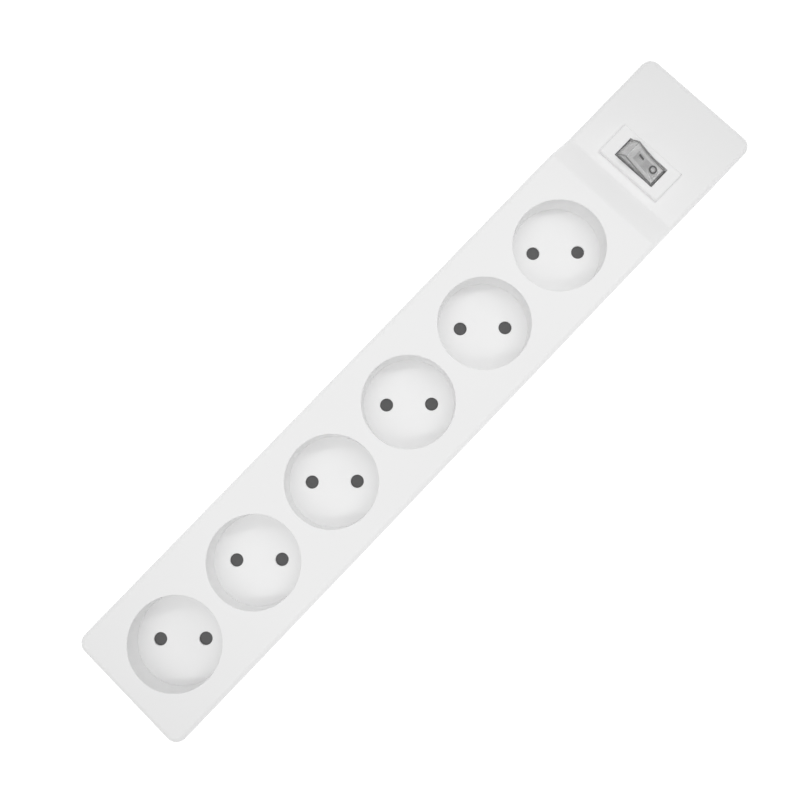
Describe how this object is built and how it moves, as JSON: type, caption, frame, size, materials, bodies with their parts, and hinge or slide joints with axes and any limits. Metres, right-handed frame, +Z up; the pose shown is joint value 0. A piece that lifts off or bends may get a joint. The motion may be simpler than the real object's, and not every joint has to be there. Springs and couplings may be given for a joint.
{
  "type": "power strip",
  "caption": "Long flat mains power strip with round recessed two-pin sockets on a raised deck and a lit rocker switch on a lower head.",
  "frame": {"origin": "middle of the outline, on the underside of the base", "axes": "+X along the strip towards the switch, +Y across it, +Z up out of the sockets"},
  "size_m": [0.3428, 0.0584, 0.0364],
  "materials": {
    "white_housing": "fine satin moulding",
    "base_plastic": "fine satin moulding",
    "bezel_plastic": "semi-gloss",
    "smoky_rocker": "see-through, gloss",
    "black_plastic": "matte",
    "grey_plastic": "matte",
    "shutter_plastic": "matte",
    "steel": "zinc-plated",
    "brass": "stamped strip",
    "copper": "bronze spring strip",
    "silver": "silver contact",
    "lamp_glass": "clear",
    "ceramic": "lacquered",
    "brown_insulation": "soft satin",
    "blue_insulation": "soft satin"
  },
  "bodies": {
    "housing": {"base_screw_1": "steel", "base_screw_2": "steel", "base_screw_3": "steel", "base_screw_4": "steel", "base_screw_5": "steel", "base_screw_6": "steel", "base_tray": "base_plastic", "clamp_screw_1": "steel", "clamp_screw_2": "steel", "contact_carrier": "white_housing", "cord_clamp_bar": "base_plastic", "feed_wire": "brown_insulation", "fixed_contact": "silver", "inlet_bush": "black_plastic", "lamp_terminal": "brass", "lamp_wire": "blue_insulation", "line_busbar": "brass", "line_contact_1": "copper", "line_contact_2": "copper", "line_contact_3": "copper", "line_contact_4": "copper", "line_contact_5": "copper", "line_contact_6": "copper", "line_sleeve": "brass", "neutral_busbar": "brass", "neutral_contact_1": "copper", "neutral_contact_2": "copper", "neutral_contact_3": "copper", "neutral_contact_4": "copper", "neutral_contact_5": "copper", "neutral_contact_6": "copper", "neutral_sleeve": "brass", "neutral_wire": "blue_insulation", "switch_body": "bezel_plastic", "switch_input_terminal": "brass", "switch_output_terminal": "brass", "switched_wire": "brown_insulation", "terminal_block": "grey_plastic", "terminal_screw_1": "steel", "terminal_screw_2": "steel", "terminal_screw_3": "steel", "terminal_screw_4": "steel", "top_housing": "white_housing"},
    "rocker": {"rocker": "smoky_rocker", "plunger": "black_plastic", "plunger_spring": "steel", "neon_lamp": "lamp_glass", "lamp_resistor": "ceramic"},
    "contact_lever": {"contact_lever": "copper", "moving_contact": "silver"},
    "shutter_1": {"shutter_1": "shutter_plastic"},
    "shutter_2": {"shutter_2": "shutter_plastic"},
    "shutter_3": {"shutter_3": "shutter_plastic"},
    "shutter_4": {"shutter_4": "shutter_plastic"},
    "shutter_5": {"shutter_5": "shutter_plastic"},
    "shutter_6": {"shutter_6": "shutter_plastic"}
  },
  "joints": [
    {"name": "rocker_tip", "type": "hinge", "parent": "housing", "child": "rocker", "pos_m": [0.13245, 0, 0.0276], "axis": [-1, 0, 0], "range_deg": [0, 31.2]},
    {"name": "lever_rock", "type": "hinge", "parent": "housing", "child": "contact_lever", "pos_m": [0.13245, 0, 0.0162], "axis": [1, 0, 0], "range_deg": [0, 20]},
    {"name": "shutter_1_turn", "type": "hinge", "parent": "housing", "child": "shutter_1", "pos_m": [-0.14315, 0, 0.02245], "axis": [0, 0, 1], "range_deg": [0, 39]},
    {"name": "shutter_2_turn", "type": "hinge", "parent": "housing", "child": "shutter_2", "pos_m": [-0.09815, 0, 0.02245], "axis": [0, 0, 1], "range_deg": [0, 39]},
    {"name": "shutter_3_turn", "type": "hinge", "parent": "housing", "child": "shutter_3", "pos_m": [-0.05315, 0, 0.02245], "axis": [0, 0, 1], "range_deg": [0, 39]},
    {"name": "shutter_4_turn", "type": "hinge", "parent": "housing", "child": "shutter_4", "pos_m": [-0.00815, 0, 0.02245], "axis": [0, 0, 1], "range_deg": [0, 39]},
    {"name": "shutter_5_turn", "type": "hinge", "parent": "housing", "child": "shutter_5", "pos_m": [0.03685, 0, 0.02245], "axis": [0, 0, 1], "range_deg": [0, 39]},
    {"name": "shutter_6_turn", "type": "hinge", "parent": "housing", "child": "shutter_6", "pos_m": [0.08185, 0, 0.02245], "axis": [0, 0, 1], "range_deg": [0, 39]}
  ],
  "couplings": [
    {"joint": "lever_rock", "follows": "rocker_tip", "ratio": 0.64102}
  ]
}
